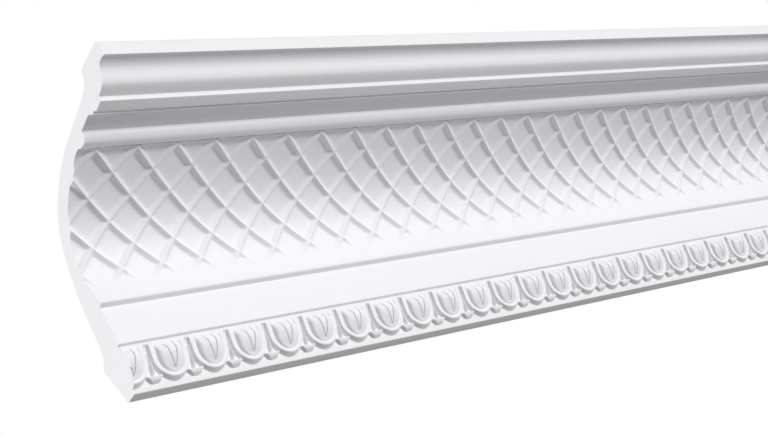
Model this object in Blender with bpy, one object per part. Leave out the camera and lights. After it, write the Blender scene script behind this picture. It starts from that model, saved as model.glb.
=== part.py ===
"""Ceiling cornice moulding, one cast piece: a trellised cove above a plain fascia and an egg-and-dart band.

The run lies along X, the wall is at +Y and the ceiling at +Z. The origin is the middle of the wall face.
"""

import math

import bmesh
import bpy
from mathutils import Vector
from mathutils.geometry import delaunay_2d_cdt

MM = 0.001

# Driving dimensions, in millimetres
PITCH = 40.0                # one egg with one dart, and one diamond of the trellis
REPEATS = 26
LENGTH = PITCH * REPEATS
HEIGHT = 174.6              # foot of the wall face to the ceiling face
PROJECTION = 186.0          # wall face to the nose
WALL_FACE = 32.0            # height of the flat that beds on the wall
CEILING_FACE = 25.2         # depth of the flat that beds on the ceiling
HALF = PITCH / 2

# Profile, as distance out from the wall and height above the foot of the wall face
NOSE = [(PROJECTION, HEIGHT), (PROJECTION - 1.6, HEIGHT - 13.3)]
CYMA = [(180.6, 162.5), (174.7, 161.1), (168.3, 153.4), (164.2, 150.6), (156.6, 149.0)]
FILLET_FOOT = (154.5, 145.9)
SOFFIT_EDGE = (144.9, 145.3)
CHANNEL = [(138.9, 150.3), (125.2, 149.4)]
BEAD = [(123.9, 145.6), (120.4, 142.4), (116.1, 142.4), (113.2, 144.6)]
COVE = [(111.9, 146.2), (92.9, 139.9), (75.6, 132.0), (60.0, 121.4), (48.2, 107.0), (40.6, 90.2),
        (39.0, 75.0), (39.3, 66.0)]
COVE_LIP = [(38.3, 63.4), (34.2, 61.7)]
FASCIA = [(31.3, 45.3), (27.4, 31.7)]
BAND_TOP = (25.4, 31.5)
BAND_FOOT = (9.3, -0.7)
BACK = [(7.6, 37.5), (13.2, 50.5), (24.2, 81.5), (43.8, 118.2), (65.6, 139.6), (98.3, 154.5),
        (140.3, 161.6), (153.8, 165.4)]

# Trellis on the cove
ROW = 18.7                  # from one row of crossings to the next, measured down the cove
ROWS = 6                    # the ribs die out on the last row
RIB_HEIGHT = 2.6
FLOOR = 0.75                # share of a diamond that its floor takes up
TRELLIS_TOP = 1.9           # first row of crossings, below the bead
TRELLIS_START = 16.5        # first crossing under the bead, from the left end

# Egg-and-dart band, measured across from the middle of an egg and down from the top of the band
EGG_START = 2.0             # middle of the first egg, from the left end
ROLL_HEIGHTS = (0.9, 2.9)   # plain roll along the top, at its edge and below it
ROLL_ROUND = 6.0            # how far down the roll reaches its full height
ROLL_FADE = (1.5, 8.0)      # between these the carving grows out of the roll
TOP_DOWNS = (0.0, 2.5, 8.0)  # rows of corners down to where the carving stands free
SIDE_DOWN = 15.0            # the shell is widest here and turns into its round bottom
LOW_DOWN = 20.0             # one more row of corners, low on the egg
EGG_HEIGHT = 7.7
EGG_CROWN = 10.5            # the egg stands highest here
EGG_RISE = 8.5              # it rises out of the roll over this distance
EGG_FALL = 16.5             # and falls to the bottom of its hollow over this one
EGG_FOOT = 2.2              # height that it falls to
EGG_WIDTH = 13.6
LEAF_TOP = 6.4              # half the width of the leaf on the egg, at the top
LEAF_TIP = 23.5
LEAF_TIP_SUNK = 1.0
LEAF_GROOVE = 1.8
LOBE = (7.4, 24.2)          # half width and bottom of each line round the egg
LOBE_TIP_SHARE = 0.95       # height of the lobe at the bottom, as a share of the egg's
HOLLOW = (12.0, 26.4)
RIM = (14.6, 28.7)
WALL = (18.0, 32.6)
HOLLOW_HEIGHTS = (1.7, 2.5)  # at the side and at the bottom
RIM_HEIGHTS = (3.2, 4.0)
WALL_HEIGHTS = (0.0, 0.0)
TURN_STEPS = 4              # facets round the bottom of a shell, from side to middle
POCKET_DOWN = 4.2           # small hollow between two shells, above the dart
POCKET_HEIGHT = 0.7
DART_TOP = 9.0
DART_TOP_HEIGHT = 0.8
DART_HALVES = (0.75, 1.5)   # half widths of the dart beside the shell and at its foot
DART_HEIGHTS = (2.2, 2.7)
FOOT_TOP = 25.8             # the dart ends on a ledge here
FOOT_LEDGE = 2.4            # how deep the ledge is
FOOT_HEIGHT = 3.4           # ridge down the middle of the foot, at the ledge
FOOT_END_HEIGHT = 2.4       # where the ledge dies into the shell
FOOT_ROOT = 32.2            # the ridge runs out on the ground here

# Fineness of the drawing
CURVE_STEPS = 2             # facets from each point of a small curve to the next
COVE_STEPS = 8
LOWER_COVE = 4.0            # one row of corners on the plain cove, this far below the trellis
SAME = 0.01                 # corners nearer than this are one


def through(points, steps):
    """Points along a smooth curve through the given ones, with so many steps from each to the next."""
    ends = [points[0]] + list(points) + [points[-1]]
    curve = []

    def between(a, b, c, d, t):
        bend = 2 * a - 5 * b + 4 * c - d
        twist = 3 * b - a - 3 * c + d
        return 0.5 * (2 * b + (c - a) * t + bend * t * t + twist * t ** 3)

    for before, start, end, after in zip(ends, ends[1:], ends[2:], ends[3:]):
        for step in range(steps):
            curve.append(tuple(between(a, b, c, d, step / steps)
                               for a, b, c, d in zip(before, start, end, after)))
    curve.append(tuple(points[-1]))
    return curve


def along(curve, distance):
    """The point at a distance down a curve, and the direction square to the curve there, out of the cast."""
    for start, end in zip(curve, curve[1:]):
        length = math.dist(start, end)
        if distance <= length or end is curve[-1]:
            break
        distance -= length
    direction = ((end[0] - start[0]) / length, (end[1] - start[1]) / length)
    point = (start[0] + direction[0] * distance, start[1] + direction[1] * distance)
    return point, (-direction[1], direction[0])


def smooth(value, low, high):
    """Rises from 0 to 1 between low and high, with soft ends."""
    share = min(max((value - low) / (high - low), 0.0), 1.0)
    return share * share * (3 - 2 * share)


class Tile:
    """Half a repeat of a carved band, drawn flat: points across, down and high, and lines joining them."""

    def __init__(self, depth):
        self.points = []
        self.lines = []
        self.line([(0, 0), (HALF, 0), (HALF, depth), (0, depth), (0, 0)])

    def point(self, across, down, height=None):
        for number, (x, y, h) in enumerate(self.points):
            if math.dist((x, y), (across, down)) < SAME:
                if height is not None:
                    self.points[number] = (x, y, height)
                return number
        self.points.append((across, down, height or 0.0))
        return len(self.points) - 1

    def line(self, points):
        numbers = [self.point(*point) for point in points]
        self.lines += zip(numbers, numbers[1:])

    def triangles(self):
        flat = [Vector(point[:2]) for point in self.points]
        found = delaunay_2d_cdt(flat, self.lines, [], 0, 1e-4)
        heights = {}
        for number, sources in enumerate(found[3]):
            heights[number] = self.points[sources[0]][2]
        return [[(found[0][n].x, found[0][n].y, heights[n]) for n in face] for face in found[2]]


def trellis_tile():
    """Raised ribs that cross at every row, with a flat floor in each diamond between them."""
    tile = Tile(ROWS * ROW)

    def rib_height(row):
        return RIB_HEIGHT if row < ROWS else 0.0

    def crossing(row):
        return (0 if row % 2 == 0 else HALF, row * ROW, rib_height(row))

    for row in range(ROWS):
        tile.line([crossing(row), crossing(row + 1)])
    for row in range(ROWS + 1):
        middle = HALF if row % 2 == 0 else 0
        side = HALF * (1 - FLOOR) if row % 2 == 0 else HALF * FLOOR
        outline = [(middle, (row - FLOOR) * ROW, 0), (side, row * ROW, 0), (middle, (row + FLOOR) * ROW, 0)]
        inside = [point for point in outline if 0 <= point[1] <= ROWS * ROW]
        tile.line(inside)
        tile.point(middle, row * ROW, 0.0)
    return tile


def egg_height(down):
    """How far the egg stands off the ground, along its middle line."""
    if down < EGG_CROWN:
        return EGG_HEIGHT * math.cos(math.pi / 2 * min((EGG_CROWN - down) / EGG_RISE, 1.0))
    fall = math.cos(math.pi / 2 * min((down - EGG_CROWN) / EGG_FALL, 1.0))
    return EGG_FOOT + (EGG_HEIGHT - EGG_FOOT) * fall


def top_height(down):
    """The plain roll along the top of the band, which eggs and shells grow out of."""
    low, high = ROLL_HEIGHTS
    return low + (high - low) * smooth(down, 0, ROLL_ROUND)


def blended(height, down):
    share = smooth(down, *ROLL_FADE)
    return top_height(down) * (1 - share) + height * share


def shell_line(size, heights):
    """One line of the shell, from the top of the band down its side and round under the egg."""
    width, bottom = size
    line = [(width, down, blended(heights[0], down)) for down in TOP_DOWNS]
    for step in range(TURN_STEPS):
        angle = math.pi / 2 * step / TURN_STEPS
        turn = smooth(step, 0, TURN_STEPS)
        line.append((width * math.cos(angle), SIDE_DOWN + (bottom - SIDE_DOWN) * math.sin(angle),
                     heights[0] * (1 - turn) + heights[1] * turn))
    line.append((0, bottom, heights[1]))
    return line


def egg_lines(tile):
    """The middle of the egg, the groove beside its leaf and the lobe that lies outside the groove."""
    tip = (0, LEAF_TIP, egg_height(LEAF_TIP) - LEAF_TIP_SUNK)
    spine = []
    groove = []
    for down in TOP_DOWNS + (SIDE_DOWN, LOW_DOWN):
        height = egg_height(down)
        spine.append((0, down, blended(height, down)))
        groove.append((LEAF_TOP * (1 - down / LEAF_TIP), down, blended(height - LEAF_GROOVE, down)))
    tile.line(spine + [tip])
    tile.line(groove + [tip])
    side_share = math.sqrt(1 - (LOBE[0] / EGG_WIDTH) ** 2)
    lobe = []
    for across, down, _ in shell_line(LOBE, (0, 0)):
        share = side_share if across else LOBE_TIP_SHARE
        lobe.append((across, down, blended(egg_height(down) * share, down)))
    tile.line(lobe)


def dart_lines(tile):
    """The pocket above the dart, the dart itself and the pointed foot that it stands on."""
    tile.line([(HALF, POCKET_DOWN, POCKET_HEIGHT), (HALF, DART_TOP, DART_TOP_HEIGHT),
               (HALF, SIDE_DOWN, DART_HEIGHTS[0]), (HALF, FOOT_TOP, DART_HEIGHTS[1]),
               (HALF, FOOT_TOP + FOOT_LEDGE, FOOT_HEIGHT), (HALF, FOOT_ROOT, 0)])
    beside = (HALF - DART_HALVES[1], FOOT_TOP, 0)
    tile.line([(HALF, DART_TOP, DART_TOP_HEIGHT), (HALF - DART_HALVES[0], SIDE_DOWN, 0), beside])
    across, down, _ = shell_line(WALL, WALL_HEIGHTS)[len(TOP_DOWNS) + TURN_STEPS // 2]
    corner = (across, down, FOOT_END_HEIGHT)
    tile.line([beside, corner, (HALF, FOOT_TOP + FOOT_LEDGE, FOOT_HEIGHT)])
    tile.line([corner, (HALF, FOOT_ROOT, 0)])


def egg_tile(depth):
    """Half an egg in its shell, half a dart and its foot, on the sloping ground of the band."""
    tile = Tile(depth)
    egg_lines(tile)
    for size, heights in ((HOLLOW, HOLLOW_HEIGHTS), (RIM, RIM_HEIGHTS), (WALL, WALL_HEIGHTS)):
        tile.line(shell_line(size, heights))
    dart_lines(tile)
    for down in TOP_DOWNS[:2]:
        tile.point(HALF, down, top_height(down))
    return tile


def carved_band(tile, start, place):
    """Repeats a tile along the run, cuts it square at both ends and sets it on the profile."""
    flat = bmesh.new()
    made = {}

    def corner(run, down, height):
        key = (round(run, 3), round(down, 3))
        if key not in made:
            made[key] = flat.verts.new((run, down, height))
        return made[key]

    half_tile = tile.triangles()
    for repeat in range(-1, REPEATS + 1):
        for side in (-1, 1):
            for triangle in half_tile:
                flat.faces.new([corner(start + repeat * PITCH + side * x, y, h) for x, y, h in triangle])
    for end, outward in ((0, -1), (LENGTH, 1)):
        geometry = flat.verts[:] + flat.edges[:] + flat.faces[:]
        bmesh.ops.bisect_plane(flat, geom=geometry, dist=1e-4, plane_co=(end, 0, 0), plane_no=(outward, 0, 0),
                               clear_outer=True)
    faces = [[tuple(vert.co) for vert in face.verts] for face in flat.faces]
    flat.free()

    def put(point):
        return (point[0], *place(point[1], point[2]))

    def row(down):
        found = {round(point[0], 4): point for face in faces for point in face if abs(point[1] - down) < 1e-3}
        return [put(found[key]) for key in sorted(found)]

    def cut(run):
        found = {round(point[1], 4): point for face in faces for point in face if abs(point[0] - run) < 1e-3}
        return [put(found[key]) for key in sorted(found)]

    return [[put(point) for point in face] for face in faces], row, cut


def plain_row(point):
    """A corner of the profile that runs straight from end to end."""
    return [(0.0, *point), (LENGTH, *point)]


def join_rows(upper, lower):
    """Faces between two rows of points that run along the piece."""
    if len(upper) == len(lower) == 2:
        return [[upper[0], upper[1], lower[1], lower[0]]]
    faces = []
    i = 0
    j = 0
    while i < len(upper) - 1 or j < len(lower) - 1:
        if j == len(lower) - 1 or (i < len(upper) - 1 and upper[i + 1][0] <= lower[j + 1][0]):
            faces.append([upper[i], upper[i + 1], lower[j]])
            i += 1
        else:
            faces.append([upper[i], lower[j + 1], lower[j]])
            j += 1
    return faces


def moulding_faces():
    """Every face of the piece, as rows down the front and up the back, with the two carved bands let in."""
    cove = through(COVE, COVE_STEPS)
    lower_cove = [along(cove, TRELLIS_TOP + ROWS * ROW + LOWER_COVE)[0], COVE[-1]]

    def on_cove(down, height):
        point, out = along(cove, TRELLIS_TOP + down)
        return point[0] + out[0] * height, point[1] + out[1] * height

    slope = math.dist(BAND_TOP, BAND_FOOT)
    down_way = ((BAND_FOOT[0] - BAND_TOP[0]) / slope, (BAND_FOOT[1] - BAND_TOP[1]) / slope)

    def on_band(down, height):
        return (BAND_TOP[0] + down_way[0] * down - down_way[1] * height,
                BAND_TOP[1] + down_way[1] * down + down_way[0] * height)

    trellis_faces, trellis_row, trellis_cut = carved_band(trellis_tile(), TRELLIS_START, on_cove)
    egg_faces, egg_row, egg_cut = carved_band(egg_tile(slope), EGG_START, on_band)

    front = NOSE + through(CYMA, CURVE_STEPS) + [FILLET_FOOT, SOFFIT_EDGE]
    front += CHANNEL + through(BEAD, CURVE_STEPS) + [COVE[0]]
    middle = lower_cove + COVE_LIP + FASCIA
    back = [(0.0, 0.0), (0.0, WALL_FACE)] + through(BACK, CURVE_STEPS) + [(PROJECTION - CEILING_FACE, HEIGHT)]

    rows = [plain_row(point) for point in front] + [trellis_row(0)]
    rows_below = [trellis_row(ROWS * ROW)] + [plain_row(point) for point in middle] + [egg_row(0)]
    rows_behind = [egg_row(slope)] + [plain_row(point) for point in back] + [plain_row(front[0])]
    faces = trellis_faces + egg_faces
    for group in (rows, rows_below, rows_behind):
        for upper, lower in zip(group, group[1:]):
            faces += join_rows(upper, lower)
    for run in (0.0, LENGTH):
        outline = [(run, *point) for point in front] + trellis_cut(run) + [(run, *point) for point in middle]
        faces.append(outline + egg_cut(run) + [(run, *point) for point in back])
    return faces


def placed(run, out, up):
    """From distances along the run, out from the wall and up, to the part's own frame in metres."""
    return Vector((run - LENGTH / 2, -out, up - WALL_FACE / 2)) * MM


def cast_polyurethane():
    material = bpy.data.materials.new("cast_white_polyurethane")
    material.use_nodes = True
    shader = material.node_tree.nodes["Principled BSDF"]
    shader.inputs["Base Color"].default_value = (0.88, 0.87, 0.89, 1)
    shader.inputs["Roughness"].default_value = 0.55
    shader.inputs["Metallic"].default_value = 0.0
    return material


def cornice_moulding():
    mesh = bmesh.new()
    made = {}
    for face in moulding_faces():
        corners = []
        for point in face:
            key = tuple(round(value, 3) for value in point)
            if key not in made:
                made[key] = mesh.verts.new(placed(*point))
            if not corners or corners[-1] is not made[key]:
                corners.append(made[key])
        mesh.faces.new(corners)
    bmesh.ops.recalc_face_normals(mesh, faces=mesh.faces[:])
    data = bpy.data.meshes.new("cornice_moulding")
    mesh.to_mesh(data)
    mesh.free()
    piece = bpy.data.objects.new("cornice_moulding", data)
    piece.data.materials.append(cast_polyurethane())
    bpy.context.scene.collection.objects.link(piece)
    return piece


for old in list(bpy.data.objects):
    bpy.data.objects.remove(old)
cornice_moulding()
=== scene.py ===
import math

import bmesh
import bpy
from mathutils import Matrix, Vector
from mathutils.geometry import delaunay_2d_cdt


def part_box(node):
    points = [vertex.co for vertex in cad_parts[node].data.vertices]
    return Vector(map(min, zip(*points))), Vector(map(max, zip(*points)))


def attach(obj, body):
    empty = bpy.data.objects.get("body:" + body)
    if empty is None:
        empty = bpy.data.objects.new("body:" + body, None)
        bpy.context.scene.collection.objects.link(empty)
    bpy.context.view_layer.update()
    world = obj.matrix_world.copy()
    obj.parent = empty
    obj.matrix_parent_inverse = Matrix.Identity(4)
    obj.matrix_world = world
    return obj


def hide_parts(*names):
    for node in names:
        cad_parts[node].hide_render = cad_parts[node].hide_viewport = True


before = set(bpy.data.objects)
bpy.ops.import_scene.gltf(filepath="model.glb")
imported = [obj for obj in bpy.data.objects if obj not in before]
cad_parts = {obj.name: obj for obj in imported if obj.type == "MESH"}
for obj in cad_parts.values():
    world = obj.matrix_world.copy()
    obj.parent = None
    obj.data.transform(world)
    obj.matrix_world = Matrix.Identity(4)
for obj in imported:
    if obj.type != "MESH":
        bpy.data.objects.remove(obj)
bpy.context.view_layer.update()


# The camera
# The moulding is seen from its left end and from below, as it would hang on a ceiling, with the run going
# off to the right. The lens is about 90 mm on a 36 mm sensor.
PHOTO_WIDTH = 768
LENS_IN_PIXELS = 1900
SENSOR_WIDTH = 36.0
CAMERA_PLACE = Vector((-1.3989, -0.8207, -0.6401))
CAMERA_RIGHT = Vector((0.6511, -0.4535, -0.6086))
CAMERA_UP = Vector((0.0885, -0.7511, 0.6543))

camera_data = bpy.data.cameras.new("camera")
camera_data.sensor_width = SENSOR_WIDTH
camera_data.lens = SENSOR_WIDTH * LENS_IN_PIXELS / PHOTO_WIDTH
camera = bpy.data.objects.new("camera", camera_data)
camera_back = CAMERA_RIGHT.cross(CAMERA_UP).normalized()
turned = Matrix((CAMERA_RIGHT, CAMERA_UP, camera_back)).transposed().to_4x4()
camera.matrix_world = Matrix.Translation(CAMERA_PLACE) @ turned
bpy.context.scene.collection.objects.link(camera)
bpy.context.scene.camera = camera


# The stepped mouldings above the cove, and the plain fascia below it
# All of the cornice is one casting in rigid white foam. The model for its mould was run with a shaped
# blade, which eased its edges, the nose more than the rest. Sizes are in millimetres: out from the wall,
# up from the foot of the wall face, and how far back an edge starts to round.
MM = 0.001
box_low, box_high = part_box("cornice_moulding")
LENGTH = (box_high.x - box_low.x) / MM
PITCH = 40.0
HALF = PITCH / 2
WALL_FACE = 32.0
CEILING_FACE = 25.2
HEIGHT = 174.6
PROJECTION = 186.0
NOSE = [(PROJECTION, HEIGHT, 1.8), (PROJECTION - 1.6, HEIGHT - 13.3, 0.7)]
CYMA = [(180.6, 162.5), (174.7, 161.1), (168.3, 153.4), (164.2, 150.6), (156.6, 149.0)]
FILLET = [(155.2, 145.8, 0.4)]
GROOVE = [(146.1, 145.2, 0.2), (146.0, 147.1, 0.1), (143.6, 147.1, 0.1), (143.4, 146.1, 0.2)]
CHANNEL = [(138.9, 150.3, 0.3)]
BEAD = [(125.2, 149.4), (123.9, 145.6), (120.4, 142.4), (116.1, 142.4), (113.5, 143.5)]
COVE = [(111.9, 146.2), (92.9, 139.9), (75.6, 132.0), (60.0, 121.4), (48.2, 107.0), (40.6, 90.2),
        (39.0, 75.0), (39.3, 66.0)]
COVE_LIP = [(38.4, 62.9, 1.0), (34.2, 61.8, 0.3)]
FASCIA = [(31.3, 45.3, 4.0), (27.7, 31.6, 0.4)]
CURVE_STEPS = 8
CORNER_STEPS = 4


def through(points, steps):
    """Points along a smooth curve through the given ones, with so many steps from each to the next."""
    ends = [points[0]] + list(points) + [points[-1]]
    curve = []

    def between(a, b, c, d, t):
        bend = 2 * a - 5 * b + 4 * c - d
        twist = 3 * b - a - 3 * c + d
        return 0.5 * (2 * b + (c - a) * t + bend * t * t + twist * t ** 3)

    for before, start, end, after in zip(ends, ends[1:], ends[2:], ends[3:]):
        for step in range(steps):
            curve.append(tuple(between(a, b, c, d, step / steps)
                               for a, b, c, d in zip(before, start, end, after)))
    curve.append(tuple(points[-1]))
    return curve


def toward(start, end, distance):
    """The point at a distance from start on the way to end, at most half way."""
    share = min(distance / math.dist(start, end), 0.5)
    return (start[0] + (end[0] - start[0]) * share, start[1] + (end[1] - start[1]) * share)


def eased(before, corners, after):
    """Rounds each corner of a broken line, given as out, up and how far back the rounding starts."""
    places = [before] + [corner[:2] for corner in corners] + [after]
    line = []
    for previous, corner, following in zip(places, corners, places[2:]):
        here = corner[:2]
        first = toward(here, previous, corner[2])
        last = toward(here, following, corner[2])
        for step in range(CORNER_STEPS + 1):
            t = step / CORNER_STEPS
            line.append(tuple((1 - t) ** 2 * a + 2 * t * (1 - t) * b + t * t * c
                              for a, b, c in zip(first, here, last)))
    return line


# The trellis on the cove
# Slim ribs stand on the hollow of the cove and cross in six rows of diamonds. Each rib has a crest as thin
# as a wire and plain sloping sides, the floors between are a little dished, and the ribs die away above the
# foot of the cove. They are drawn flat, then laid on the curve.
ROW = 18.7
ROWS = 6
TRELLIS_TOP = 1.9
TRELLIS_START = 16.5
TRELLIS_FOOT = TRELLIS_TOP + ROWS * ROW
RIB_HEIGHT = 2.6
RIB_SIDE = 3.3
RIB_CREST = 0.4
RIB_JOIN = 0.35
FLOOR_SOFT = 0.22
FLOOR_DISH = 0.3
RIB_FADE = (5.05, 5.75)
TOP_JOIN = (2.3, 4.6)
DIAMOND_STEPS = (0.0, 0.012, 0.03, 0.06, 0.095, 0.125, 0.155, 0.26, 0.5)
SPARE_REPEATS = 2
DIGITS = 3
CUT_REACH = 1e-4
WELD_REACH = 0.004


def smooth(value, low, high):
    """Rises from 0 to 1 between low and high, with soft ends."""
    share = min(max((value - low) / (high - low), 0.0), 1.0)
    return share * share * (3 - 2 * share)


def soft_max(a, b, softness):
    """The larger of two heights, with the crease between them rounded."""
    return (a + b + math.sqrt((a - b) ** 2 + softness ** 2)) / 2


def rib(distance):
    """Height of one rib at a distance from its middle line, falling on past the floor."""
    crest = math.sqrt(distance * distance + RIB_CREST * RIB_CREST) - RIB_CREST
    return RIB_HEIGHT * (1 - crest / RIB_SIDE)


def trellis_height(u, v, down):
    """Height inside a diamond, where u and v run from 0 to 1 between its two pairs of ribs."""
    across = 2 * HALF * ROW / math.hypot(HALF, ROW)
    one_way = rib(min(u, 1 - u) * across)
    other_way = rib(min(v, 1 - v) * across)
    fade = 1 - smooth(down / ROW, *RIB_FADE)
    ribs = soft_max(one_way, other_way, RIB_JOIN) * fade - RIB_SIDE * (1 - fade)
    dish = FLOOR_DISH * (4 * u * (1 - u)) * (4 * v * (1 - v)) * fade
    join_height, join_reach = TOP_JOIN
    join = join_height * max(1 - max(TRELLIS_TOP + down, 0.0) / join_reach, 0.0) ** 2
    return soft_max(ribs, join, FLOOR_SOFT) - dish


def trellis_faces():
    """One pitch of the trellis, as faces whose corners are along, down and height."""
    shares = list(DIAMOND_STEPS) + [1 - share for share in reversed(DIAMOND_STEPS[:-1])]
    faces = []
    for row in range(-1, ROWS + 1):
        centre = HALF if row % 2 == 0 else 0.0
        grid = []
        for u in shares:
            line = []
            for v in shares:
                down = (row - 1 + u + v) * ROW
                line.append((centre + (u - v) * HALF, TRELLIS_TOP + down, trellis_height(u, v, down)))
            grid.append(line)
        for first, second in zip(grid, grid[1:]):
            for i in range(len(shares) - 1):
                faces.append([first[i], second[i], second[i + 1], first[i + 1]])
    return faces


def add_face(work, placed, spots):
    """Adds a face that shares the corners already placed, given as pairs of a key and a place."""
    corners = []
    for key, place in spots:
        if key not in placed:
            placed[key] = work.verts.new(place)
        if placed[key] not in corners:
            corners.append(placed[key])
    if len(corners) > 2:
        work.faces.new(corners)


def repeated(faces, start, depth):
    """Repeats a pattern along the run, cuts it to the band, and gives its faces as lists of corners."""
    flat = bmesh.new()
    placed = {}
    repeats = round(LENGTH / PITCH)
    for repeat in range(-SPARE_REPEATS, repeats + SPARE_REPEATS):
        for face in faces:
            spots = []
            for along, down, height in face:
                key = (round(start + repeat * PITCH + along, DIGITS), round(down, DIGITS))
                spots.append((key, (*key, height)))
            add_face(flat, placed, spots)
    cuts = (((0, 0, 0), (-1, 0, 0)), ((LENGTH, 0, 0), (1, 0, 0)), ((0, 0, 0), (0, -1, 0)),
            ((0, depth, 0), (0, 1, 0)))
    for place, outward in cuts:
        everything = flat.verts[:] + flat.edges[:] + flat.faces[:]
        bmesh.ops.bisect_plane(flat, geom=everything, dist=CUT_REACH, plane_co=place, plane_no=outward,
                               clear_outer=True)
    bmesh.ops.remove_doubles(flat, verts=flat.verts, dist=WELD_REACH)
    pattern = [[tuple(vert.co) for vert in face.verts] for face in flat.faces]
    flat.free()
    return pattern


# The egg-and-dart band
# Below the fascia a sloping band carries eggs, each in a shell with a rolled rim, and between the shells a
# slim dart on a short bar with a round knob under it. A small leaf is cut into each egg. Half of one repeat
# is drawn flat: across from the middle of an egg, down from the top of the band, and height off its ground.
BAND_TOP = (25.4, 31.5)
BAND_FOOT = (9.3, -0.7)
BAND_SLOPE = math.dist(BAND_TOP, BAND_FOOT)
BAND_EDGE = 0.8
BAND_DEPTH = BAND_SLOPE - BAND_EDGE
EGG_START = 2.0
ROLL_HEIGHTS = (-0.9, 2.9)
ROLL_ROUND = 4.2
ROLL_FADE = (1.6, 7.0)
STRAIGHT_DOWNS = (0.0, 0.5, 1.1, 1.8, 2.6, 3.4, 4.3, 5.3, 6.5, 8.0, 10.0, 12.5)
SIDE_DOWN = 15.0
TURN_STEPS = 18
EGG_HEIGHT = 7.7
EGG_CROWN = 10.5
EGG_RISE = 8.5
EGG_FALL = 16.5
EGG_FOOT = 2.2
EGG_WIDTH = 13.6
LEAF_TOP = 6.4
LEAF_TIP = 23.5
LEAF_DEPTH = 2.0
LEAF_CROWN = 0.35
LEAF_RINGS = (0.0, 0.5, 0.82, 1.0)
LOBE_MIXES = (0.18, 0.4, 0.7)
LOBE = (8.2, 24.2, 2.0)
HOLLOW = (12.0, 26.4, 2.0)
RIM = (14.6, 28.7, 1.9)
SHELL_FOOT = (18.0, 32.5, 1.75)
HOLLOW_HEIGHTS = (1.7, 2.5)
RIM_HEIGHTS = (3.3, 4.0)
EGG_MIXES = (0.35, 0.65, 0.85, 1.0)
RIM_MIXES = (0.3, 0.6, 1.0)
SHOULDERS = (0.79, 0.25)
SHOULDER_MIXES = (0.4, 0.75, 1.0)
WALL_MIXES = (0.12, 0.35, 0.65, 1.0)
SHOULDER_DROP = 0.08


def roll_height(down):
    """The plain roll along the top of the band, which eggs and shells grow out of."""
    low, high = ROLL_HEIGHTS
    round_share = min(down / ROLL_ROUND, 1.0)
    return low + (high - low) * math.sqrt(1 - (1 - round_share) ** 2)


def blended(height, down):
    """A height that grows out of the roll near the top of the band."""
    share = smooth(down, *ROLL_FADE)
    return roll_height(down) * (1 - share) + height * share


def egg_height(across, down):
    """The egg stands highest in its upper half, where it swells out of the roll."""
    if down < EGG_CROWN:
        middle = EGG_HEIGHT * math.cos(math.pi / 2 * min((EGG_CROWN - down) / EGG_RISE, 1.0))
    else:
        fall = math.cos(math.pi / 2 * min((down - EGG_CROWN) / EGG_FALL, 1.0))
        middle = EGG_FOOT + (EGG_HEIGHT - EGG_FOOT) * fall
    return middle * math.sqrt(max(1 - (across / EGG_WIDTH) ** 2, 0.0))


def turns():
    """How far down each step is while the sides are straight, and the angle turned after that."""
    return [(down, 0.0) for down in STRAIGHT_DOWNS] + [(SIDE_DOWN, math.pi / 2 * step / TURN_STEPS)
                                                     for step in range(TURN_STEPS + 1)]


def shell_outline(size):
    """A line down the side of the shell and round under the egg, as across and down."""
    width, bottom, power = size
    line = []
    for down, angle in turns():
        across = width * max(math.cos(angle), 0.0) ** (2 / power)
        line.append((across, down + (bottom - SIDE_DOWN) * math.sin(angle) ** (2 / power)))
    return line


def leaf_outline(share):
    """A line of the leaf on the egg, at a share of its width, coming to a point low on the egg."""
    line = []
    for down, angle in turns():
        down += (LEAF_TIP - SIDE_DOWN) * math.sin(angle)
        line.append((share * LEAF_TOP * (1 - down / LEAF_TIP), down))
    return line


def mixed(first, second, share):
    """A line part of the way from one line to another."""
    return [tuple(a + (b - a) * share for a, b in zip(p, q)) for p, q in zip(first, second)]


def side_to_bottom(pair):
    """A value for each step that goes from the side's to the bottom's as the shell turns."""
    return [pair[0] + (pair[1] - pair[0]) * smooth(angle, 0, math.pi / 2) for down, angle in turns()]


def egg_rings():
    """Nested lines from the middle of the egg to the foot of its shell, as across, down and height."""
    rings = []

    def add(outline, heights):
        rings.append([(across, down, blended(height, down))
                      for (across, down), height in zip(outline, heights)])

    for share in LEAF_RINGS:
        line = leaf_outline(share)
        sunk = LEAF_DEPTH if share == 1.0 else LEAF_CROWN * share * share
        add(line, [egg_height(*point) - sunk for point in line])
    groove = leaf_outline(1.0)
    lobe = shell_outline(LOBE)
    for share in LOBE_MIXES:
        line = mixed(groove, lobe, share)
        add(line, [egg_height(*point) for point in line])
    lobe_heights = [egg_height(*point) for point in lobe]
    add(lobe, lobe_heights)
    hollow = shell_outline(HOLLOW)
    hollow_heights = side_to_bottom(HOLLOW_HEIGHTS)
    for share in EGG_MIXES:
        fall = math.sqrt(1 - share * share)
        add(mixed(lobe, hollow, share), [low + (high - low) * fall
                                         for low, high in zip(hollow_heights, lobe_heights)])
    rim = shell_outline(RIM)
    rim_heights = side_to_bottom(RIM_HEIGHTS)
    for share in RIM_MIXES:
        rise = math.sqrt(1 - (1 - share) ** 2)
        add(mixed(hollow, rim, share), [low + (high - low) * rise
                                        for low, high in zip(hollow_heights, rim_heights)])
    foot = shell_outline(SHELL_FOOT)
    shoulders = side_to_bottom(SHOULDERS)
    for share in SHOULDER_MIXES:
        line = [(a + (c - a) * share * s, b + (d - b) * share * s)
                for (a, b), (c, d), s in zip(rim, foot, shoulders)]
        add(line, [height * (1 - SHOULDER_DROP * share * share) for height in rim_heights])
    for share in WALL_MIXES:
        line = []
        for (a, b), (c, d), shoulder in zip(rim, foot, shoulders):
            whole = shoulder + (1 - shoulder) * share
            line.append((a + (c - a) * whole, b + (d - b) * whole))
        rings.append([(across, down, max(blended(height * (1 - SHOULDER_DROP) * (1 - share), down),
                                         ground_height(across, down)))
                      for (across, down), height in zip(line, rim_heights)])
    return rings


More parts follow.
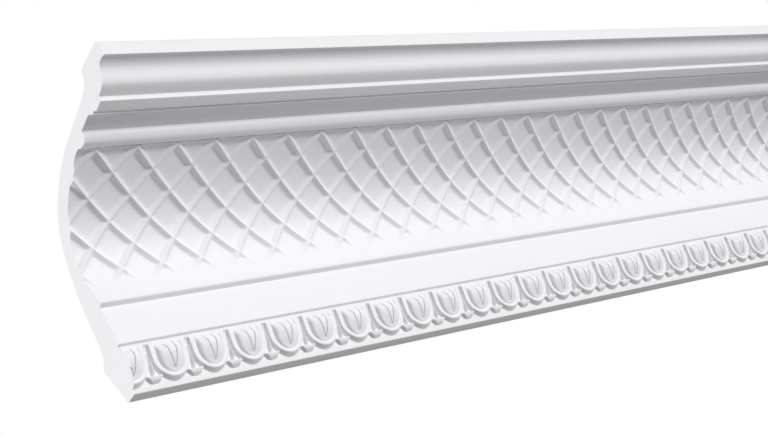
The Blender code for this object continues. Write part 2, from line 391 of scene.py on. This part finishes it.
DART_TOP = 8.5
DART_SIZES = [(8.5, 0.3, 0.5), (11.0, 0.6, 1.6), (15.0, 0.9, 2.4), (20.0, 1.3, 2.8), (25.8, 1.9, 3.0)]
DART_RINGS = (0.45, 0.8, 1.0)
DART_ROUND = 0.6
POCKET_DOWN = 3.8
POCKET_SIZE = (1.5, 1.0)
POCKET_DEPTH = 1.2
FOOT_TOP = 25.8
FOOT_LEDGE = 0.5
FOOT_FACE = 1.4
FOOT_HALF = 7.3
FOOT_SIDE = 0.8
FOOT_HEIGHT = 3.1
KNOB_HALF = 6.0
KNOB_HEIGHT = 2.9
KNOB_FULL = 0.3
FOOT_ROOT = 32.0
FOOT_FALLS = (0.0, 0.07, 0.3, 0.55, 0.8, 1.0)
FOOT_SHARES = (0.0, 0.2, 0.4, 0.6, 0.8, 1.0)
DART_STEPS = (17.5, 22.0, 24.5)
GROUND_STEP = 2.0
CLEAR_OF_SHELL = 0.3
HAIR = 0.01
SAME_PLACE = 0.02
TRIANGLE_REACH = 1e-5


def dart_size(down):
    """Half width and height of the dart at a distance down the band."""
    for (top, *start), (bottom, *end) in zip(DART_SIZES, DART_SIZES[1:]):
        if down <= bottom:
            break
    share = min(max((down - top) / (bottom - top), 0.0), 1.0)
    return [a + (b - a) * share for a, b in zip(start, end)]


def foot_height(beside, down):
    """Height of the dart's foot beside its middle: a flat bar, with a round knob under it."""
    edge = FOOT_TOP + FOOT_LEDGE + FOOT_FACE
    if down <= edge + HAIR:
        return FOOT_HEIGHT * min((FOOT_HALF - beside) / FOOT_SIDE, 1.0)
    fall = (down - edge) / (FOOT_ROOT - edge)
    half = KNOB_HALF * math.sqrt(max(1 - fall * fall, 0.0))
    front = KNOB_HEIGHT * min((1 - fall) / (1 - KNOB_FULL), 1.0)
    return min(front, KNOB_HEIGHT * (half - beside) / FOOT_SIDE)


def ground_height(across, down):
    """Height of the ground between the shells, with the pocket, the dart and the foot that stand on it."""
    beside = HALF - across
    pocket = (beside / POCKET_SIZE[0]) ** 2 + ((down - POCKET_DOWN) / POCKET_SIZE[1]) ** 2
    height = blended(0.0, down) - POCKET_DEPTH * math.exp(-pocket)
    if down >= DART_TOP:
        height = 0.0
        half, top = dart_size(down)
        if down <= FOOT_TOP and beside < half:
            height = top * (1 - (beside / half) ** 2) ** DART_ROUND
        if down >= FOOT_TOP + FOOT_LEDGE - HAIR:
            height = max(height, foot_height(beside, down))
    return height


def shell_reach(down):
    """Half width of the shell where it meets the ground."""
    width, bottom, power = SHELL_FOOT
    low = min(max((down - SIDE_DOWN) / (bottom - SIDE_DOWN), 0.0), 1.0)
    return width * (1 - low ** power) ** (1 / power)


def ground_faces():
    """Triangles from the foot of the shell out to the middle of the dart and down to the band's edge."""
    points = []

    def number(across, down):
        for place, other in enumerate(points):
            if math.dist(other, (across, down)) < SAME_PLACE:
                return place
        points.append((across, down))
        return len(points) - 1

    crest = FOOT_TOP + FOOT_LEDGE
    edge = crest + FOOT_FACE
    foot_downs = [crest] + [edge + (FOOT_ROOT - edge) * fall for fall in FOOT_FALLS]
    middle_downs = sorted({down for down in STRAIGHT_DOWNS if down < DART_TOP} | {SIDE_DOWN, *DART_STEPS}
                          | {size[0] for size in DART_SIZES} | set(foot_downs))
    steps = [step * GROUND_STEP for step in range(int(HALF / GROUND_STEP) + 1)]
    border = shell_outline(SHELL_FOOT) + [(across, BAND_DEPTH) for across in steps]
    border += [(HALF, down) for down in reversed(middle_downs)]
    outline = []
    for point in border:
        place = number(*point)
        if not outline or outline[-1] != place:
            outline.append(place)
    lines = []

    def draw(line):
        clear = [point if point[0] > shell_reach(point[1]) + CLEAR_OF_SHELL else None for point in line]
        for start, end in zip(clear, clear[1:]):
            if start and end and math.dist(start, end) > SAME_PLACE:
                lines.append((number(*start), number(*end)))

    for share in DART_RINGS:
        draw([(HALF - share * dart_size(down)[0], down) for down in middle_downs
              if DART_TOP <= down <= FOOT_TOP])
    draw([((HALF + SHELL_FOOT[0]) / 2, down) for down in STRAIGHT_DOWNS if down < DART_TOP])
    dart_half = dart_size(FOOT_TOP)[0]
    draw([(HALF - dart_half, FOOT_TOP)] + [(HALF - dart_half - (FOOT_HALF - dart_half) * share, FOOT_TOP)
                                           for share in FOOT_SHARES[1:]])
    sides = {0.0: [], FOOT_SIDE: []}
    for down in foot_downs[:-1]:
        fall = max((down - edge) / (FOOT_ROOT - edge), 0.0)
        half = (KNOB_HALF if fall > 0 else FOOT_HALF) * math.sqrt(1 - fall * fall)
        inner = half - FOOT_SIDE * min((1 - fall) / (1 - KNOB_FULL), 1.0)
        draw([(HALF - inner * share, down) for share in FOOT_SHARES] + [(HALF - half, down)])
        sides[0.0].append((HALF - half, down))
        sides[FOOT_SIDE].append((HALF - inner, down))
    for side in sides.values():
        draw(side)
    draw([sides[0.0][-1], (HALF, FOOT_ROOT)])
    outline.reverse()
    found = delaunay_2d_cdt([Vector(point) for point in points], lines, [outline], 0, TRIANGLE_REACH)
    places, triangles, owners = found[0], found[2], found[5]
    faces = []
    for corners, inside in zip(triangles, owners):
        if inside:
            flat = [tuple(places[corner]) for corner in corners]
            faces.append([(across, down, ground_height(across, down)) for across, down in flat])
    return faces


def egg_faces():
    """One pitch of the band, as faces whose corners are along, down and height."""
    one_side = ground_faces()
    rings = egg_rings()
    for inner, outer in zip(rings, rings[1:]):
        for i in range(len(inner) - 1):
            one_side.append([inner[i], inner[i + 1], outer[i + 1], outer[i]])
    return one_side + [[(-across, down, height) for across, down, height in face] for face in one_side]


# The cast as one piece
# Both carved bands are laid on the curve of the casting, and the plain mouldings, the hollow back, the
# flats that bed on wall and ceiling and the two sawn ends close it. It is foam right through, with no core.
BACK = [(7.6, 37.5), (13.2, 50.5), (24.2, 81.5), (43.8, 118.2), (65.6, 139.6), (98.3, 154.5),
        (140.3, 161.6), (153.8, 165.4)]
COVE_STEPS = 32
LOWER_COVE_STEPS = 12
BACK_EDGE = 1.0
ALONG = 0
DOWN = 1
EDGE_REACH = 2e-3
EDGE_DIGITS = 4


def measured(curve):
    """The distance down the curve at each of its points."""
    distances = [0.0]
    for start, end in zip(curve, curve[1:]):
        distances.append(distances[-1] + math.dist(start, end))
    return distances


cove_curve = through(COVE, COVE_STEPS)
cove_distances = measured(cove_curve)


def on_cove(down, height=0.0):
    """A place on the cove, at a distance down its curve and a height off it."""
    low = 0
    high = len(cove_distances) - 1
    while high - low > 1:
        middle = (low + high) // 2
        if cove_distances[middle] <= down:
            low = middle
        else:
            high = middle
    share = (down - cove_distances[low]) / (cove_distances[high] - cove_distances[low])
    start = Vector(cove_curve[low])
    end = Vector(cove_curve[high])
    before = Vector(cove_curve[max(low - 1, 0)])
    after = Vector(cove_curve[min(high + 1, len(cove_curve) - 1)])
    way = (end - before).normalized().lerp((after - start).normalized(), share).normalized()
    point = start.lerp(end, share)
    return point.x - way.y * height, point.y + way.x * height


band_way = (Vector(BAND_FOOT) - Vector(BAND_TOP)).normalized()


def on_band(down, height=0.0):
    """A place on the egg-and-dart band, down its slope and off its ground."""
    return (BAND_TOP[0] + band_way.x * down - band_way.y * height,
            BAND_TOP[1] + band_way.y * down + band_way.x * height)


def laid(pattern, place):
    """A flat pattern laid on the cove or the band."""
    return [[(along, *place(down, height)) for along, down, height in face] for face in pattern]


def edge_of(pattern, place, axis, value):
    """The corners of a pattern that lie on one of its edges, in order along it."""
    other = 1 - axis
    found = {round(corner[other], EDGE_DIGITS): corner for face in pattern for corner in face
             if abs(corner[axis] - value) < EDGE_REACH}
    return [(found[key][0], *place(found[key][1], found[key][2])) for key in sorted(found)]


def plain_row(point):
    """The two ends of a straight edge that runs the whole length."""
    return [(0.0, *point), (LENGTH, *point)]


def join_rows(upper, lower):
    """Faces between two rows of corners that run along the piece."""
    if len(upper) == len(lower) == 2:
        return [[upper[0], upper[1], lower[1], lower[0]]]
    faces = []
    i = 0
    j = 0
    while i < len(upper) - 1 or j < len(lower) - 1:
        if j == len(lower) - 1 or (i < len(upper) - 1 and upper[i + 1][0] <= lower[j + 1][0]):
            faces.append([upper[i], upper[i + 1], lower[j]])
            i += 1
        else:
            faces.append([upper[i], lower[j + 1], lower[j]])
            j += 1
    return faces


def moulding_faces():
    """Every face of the casting: the carved bands, the plain rows that join them, and the sawn ends."""
    trellis = repeated(trellis_faces(), TRELLIS_START, TRELLIS_FOOT)
    eggs = repeated(egg_faces(), EGG_START, BAND_DEPTH)
    cyma = through(CYMA, CURVE_STEPS)
    bead = through(BEAD, CURVE_STEPS)
    wall_foot = (0.0, 0.0)
    wall_top = (0.0, WALL_FACE)
    ceiling_back = (PROJECTION - CEILING_FACE, HEIGHT)
    above_cove = eased(ceiling_back, NOSE, cyma[0]) + cyma
    above_cove += eased(cyma[-1], FILLET + GROOVE + CHANNEL, bead[0]) + bead
    rest = cove_distances[-1] - TRELLIS_FOOT
    below_cove = [on_cove(TRELLIS_FOOT + rest * step / LOWER_COVE_STEPS)
                  for step in range(1, LOWER_COVE_STEPS + 1)]
    below_cove += eased(COVE[-1], COVE_LIP + FASCIA, BAND_TOP)
    behind = eased(on_band(BAND_DEPTH), [(*BAND_FOOT, BAND_EDGE), (*wall_foot, BACK_EDGE)], wall_top)[1:]
    behind += eased(wall_foot, [(*wall_top, BACK_EDGE)], BACK[0]) + through(BACK, CURVE_STEPS)
    behind += eased(BACK[-1], [(*ceiling_back, BACK_EDGE)], NOSE[0][:2])
    groups = ([plain_row(point) for point in above_cove] + [edge_of(trellis, on_cove, DOWN, 0.0)],
              [edge_of(trellis, on_cove, DOWN, TRELLIS_FOOT)] + [plain_row(point) for point in below_cove]
              + [edge_of(eggs, on_band, DOWN, 0.0)],
              [edge_of(eggs, on_band, DOWN, BAND_DEPTH)] + [plain_row(point) for point in behind]
              + [plain_row(above_cove[0])])
    faces = laid(trellis, on_cove) + laid(eggs, on_band)
    for group in groups:
        for upper, lower in zip(group, group[1:]):
            faces += join_rows(upper, lower)
    for run in (0.0, LENGTH):
        outline = [(run, *point) for point in above_cove] + edge_of(trellis, on_cove, ALONG, run)
        outline += [(run, *point) for point in below_cove] + edge_of(eggs, on_band, ALONG, run)
        faces.append(outline + [(run, *point) for point in behind])
    return faces


SHARP_ANGLE = math.radians(50)
mould = bmesh.new()
mould_corners = {}
for mould_face in moulding_faces():
    face_spots = []
    for run, out, up in mould_face:
        spot_key = (round(run, DIGITS), round(out, DIGITS), round(up, DIGITS))
        face_spots.append((spot_key, Vector((run - LENGTH / 2, -out, up - WALL_FACE / 2)) * MM))
    add_face(mould, mould_corners, face_spots)
bmesh.ops.recalc_face_normals(mould, faces=mould.faces[:])
casting_mesh = bpy.data.meshes.new("cornice_casting")
mould.to_mesh(casting_mesh)
mould.free()
casting_mesh.shade_smooth()
casting_mesh.set_sharp_from_angle(angle=SHARP_ANGLE)
casting = bpy.data.objects.new("cornice_casting", casting_mesh)
bpy.context.scene.collection.objects.link(casting)
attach(casting, "root")
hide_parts("cornice_moulding")


# The skin of the casting
# Rigid polyurethane foam takes a close, matt white skin from the mould, with a coat of white primer over
# it. Close to, it has a fine tooth, faint draw lines along the run and very slightly uneven tone.
SKIN_COLOUR = (0.88, 0.87, 0.89)
SKIN_DULLEST = 0.975
SKIN_ROUGHNESS = (0.5, 0.62)
EVEN = (1, 1, 1)
DRAWN_OUT = (0.02, 1, 1)
CLOUDS = (9.0, EVEN, 3.0)
SHEEN_PATCHES = (60.0, EVEN, 4.0)
TOOTH = (900.0, EVEN, 2.0)
TOOTH_BUMP = (0.12, 0.0004)
DRAW_LINES = (160.0, DRAWN_OUT, 2.0)
DRAW_BUMP = (0.25, 0.0008)


def cast_skin():
    """White primed foam: clouded tone, patchy sheen, a fine tooth and draw lines along the run."""
    material = bpy.data.materials.new("cast_white_skin")
    material.use_nodes = True
    nodes = material.node_tree.nodes
    links = material.node_tree.links
    shader = nodes["Principled BSDF"]
    place = nodes.new("ShaderNodeTexCoord")

    def noise(scale, stretch, detail):
        mapping = nodes.new("ShaderNodeMapping")
        mapping.inputs["Scale"].default_value = stretch
        links.new(place.outputs["Object"], mapping.inputs["Vector"])
        texture = nodes.new("ShaderNodeTexNoise")
        texture.inputs["Scale"].default_value = scale
        texture.inputs["Detail"].default_value = detail
        links.new(mapping.outputs["Vector"], texture.inputs["Vector"])
        return texture.outputs["Fac"]

    def spread(value, low, high):
        steps = nodes.new("ShaderNodeMapRange")
        steps.inputs["To Min"].default_value = low
        steps.inputs["To Max"].default_value = high
        links.new(value, steps.inputs["Value"])
        return steps.outputs["Result"]

    def bump(height, strength, distance):
        relief = nodes.new("ShaderNodeBump")
        relief.inputs["Strength"].default_value = strength
        relief.inputs["Distance"].default_value = distance
        links.new(height, relief.inputs["Height"])
        return relief

    cloud = noise(*CLOUDS)
    tone = nodes.new("ShaderNodeMix")
    tone.data_type = "RGBA"
    tone.inputs["A"].default_value = (*[value * SKIN_DULLEST for value in SKIN_COLOUR], 1)
    tone.inputs["B"].default_value = (*SKIN_COLOUR, 1)
    links.new(cloud, tone.inputs["Factor"])
    links.new(tone.outputs["Result"], shader.inputs["Base Color"])
    links.new(spread(noise(*SHEEN_PATCHES), *SKIN_ROUGHNESS), shader.inputs["Roughness"])

    tooth = bump(noise(*TOOTH), *TOOTH_BUMP)
    drawn = bump(noise(*DRAW_LINES), *DRAW_BUMP)
    links.new(drawn.outputs["Normal"], tooth.inputs["Normal"])
    links.new(tooth.outputs["Normal"], shader.inputs["Normal"])
    return material


casting.data.materials.append(cast_skin())


# The room
# The cornice hangs in a white studio, well above a plain pale floor. Two broad soft lights stand on the
# room's side, one just below the level of the cornice and one above it, and a third lights the sawn end.
FLOOR_DOWN = 2.4
FLOOR_SIZE = 4.0
WHITE = 1.0
ROOM_FILL = 0.25
FLOOR_COLOUR = (0.8, 0.8, 0.8, 1)
FLOOR_ROUGHNESS = 0.9
LIGHTS = [("room_low", (0.4, -0.9, -0.18), 1.75, 12), ("room_high", (0.0, -0.97, 0.24), 0.9, 20),
          ("end", (-0.81, 0.58, 0.06), 2.7, 25)]

floor_mesh = bpy.data.meshes.new("floor")
floor_reach = FLOOR_SIZE / 2
floor_corners = [(-floor_reach, -floor_reach, -FLOOR_DOWN), (floor_reach, -floor_reach, -FLOOR_DOWN),
                 (floor_reach, floor_reach, -FLOOR_DOWN), (-floor_reach, floor_reach, -FLOOR_DOWN)]
floor_mesh.from_pydata(floor_corners, [], [(0, 1, 2, 3)])
floor = bpy.data.objects.new("floor", floor_mesh)
floor_paint = bpy.data.materials.new("pale_floor")
floor_paint.use_nodes = True
floor_shader = floor_paint.node_tree.nodes["Principled BSDF"]
floor_shader.inputs["Base Color"].default_value = FLOOR_COLOUR
floor_shader.inputs["Roughness"].default_value = FLOOR_ROUGHNESS
floor_mesh.materials.append(floor_paint)
bpy.context.scene.collection.objects.link(floor)

world = bpy.data.worlds.new("room")
world.use_nodes = True
bpy.context.scene.world = world
room_nodes = world.node_tree.nodes
room_light = room_nodes["Background"]
ray = room_nodes.new("ShaderNodeLightPath")
strength = room_nodes.new("ShaderNodeMapRange")
strength.inputs["To Min"].default_value = ROOM_FILL
strength.inputs["To Max"].default_value = WHITE
world.node_tree.links.new(ray.outputs["Is Camera Ray"], strength.inputs["Value"])
world.node_tree.links.new(strength.outputs["Result"], room_light.inputs["Strength"])
room_light.inputs["Color"].default_value = (1, 1, 1, 1)

for name, toward_light, power, softness in LIGHTS:
    light = bpy.data.lights.new(name, "SUN")
    light.energy = power
    light.angle = math.radians(softness)
    lamp = bpy.data.objects.new(name, light)
    lamp.rotation_euler = Vector(toward_light).to_track_quat("Z", "Y").to_euler()
    bpy.context.scene.collection.objects.link(lamp)
bpy.context.scene.view_settings.view_transform = "Standard"
